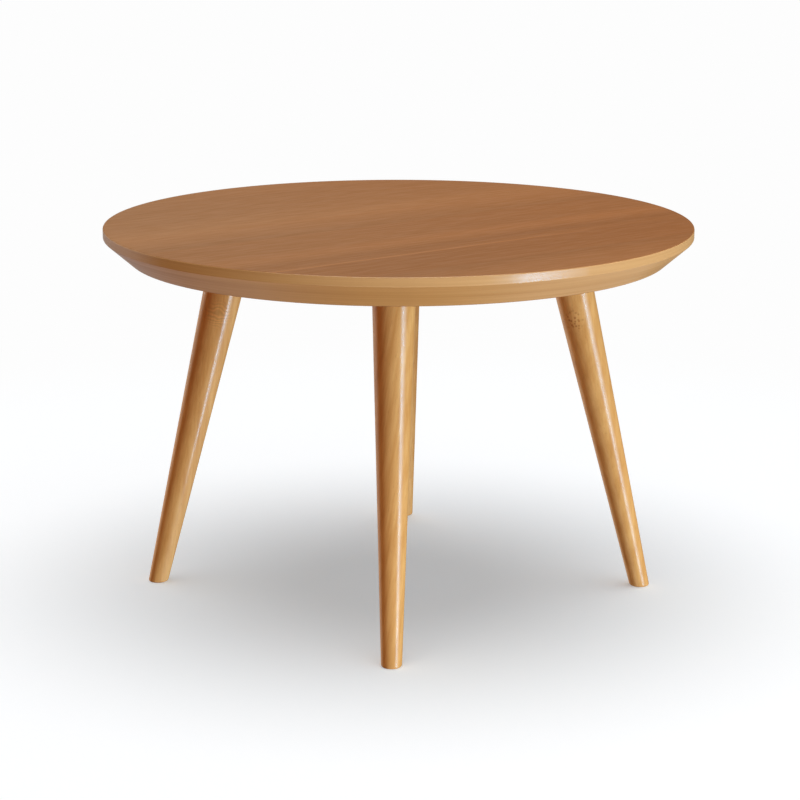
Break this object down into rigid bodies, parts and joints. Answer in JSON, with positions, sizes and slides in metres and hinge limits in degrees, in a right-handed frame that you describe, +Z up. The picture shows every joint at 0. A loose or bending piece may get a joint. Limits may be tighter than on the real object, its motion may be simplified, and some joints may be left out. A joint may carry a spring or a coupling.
{
  "type": "round cocktail table",
  "caption": "Low round table with a solid wood top, bevelled under its edge, on splayed, tapered wooden legs that screw into steel plates.",
  "frame": {"origin": "on the floor, under the centre of the top", "axes": "+Z up; the legs stand on the diagonals of X and Y, and the front of the table is towards -Y"},
  "size_m": [0.7112, 0.7112, 0.4572],
  "materials": {
    "top_wood": "warm brown wood, satin lacquer",
    "leg_wood": "honey coloured wood, gloss lacquer",
    "plate_steel": "bright zinc plated, stamped",
    "fastener_steel": "bright zinc plated"
  },
  "bodies": {
    "root": {"top_board_1": "top_wood", "top_board_2": "top_wood", "top_board_3": "top_wood", "top_board_4": "top_wood", "top_board_5": "top_wood", "top_board_6": "top_wood", "top_board_7": "top_wood", "top_board_8": "top_wood", "leg_back_right": "leg_wood", "leg_plate_back_right": "plate_steel", "plate_nut_back_right": "fastener_steel", "hanger_bolt_back_right": "fastener_steel", "plate_screws_back_right": "fastener_steel", "leg_back_left": "leg_wood", "leg_plate_back_left": "plate_steel", "plate_nut_back_left": "fastener_steel", "hanger_bolt_back_left": "fastener_steel", "plate_screws_back_left": "fastener_steel", "leg_front_left": "leg_wood", "leg_plate_front_left": "plate_steel", "plate_nut_front_left": "fastener_steel", "hanger_bolt_front_left": "fastener_steel", "plate_screws_front_left": "fastener_steel", "leg_front_right": "leg_wood", "leg_plate_front_right": "plate_steel", "plate_nut_front_right": "fastener_steel", "hanger_bolt_front_right": "fastener_steel", "plate_screws_front_right": "fastener_steel"}
  },
  "joints": []
}
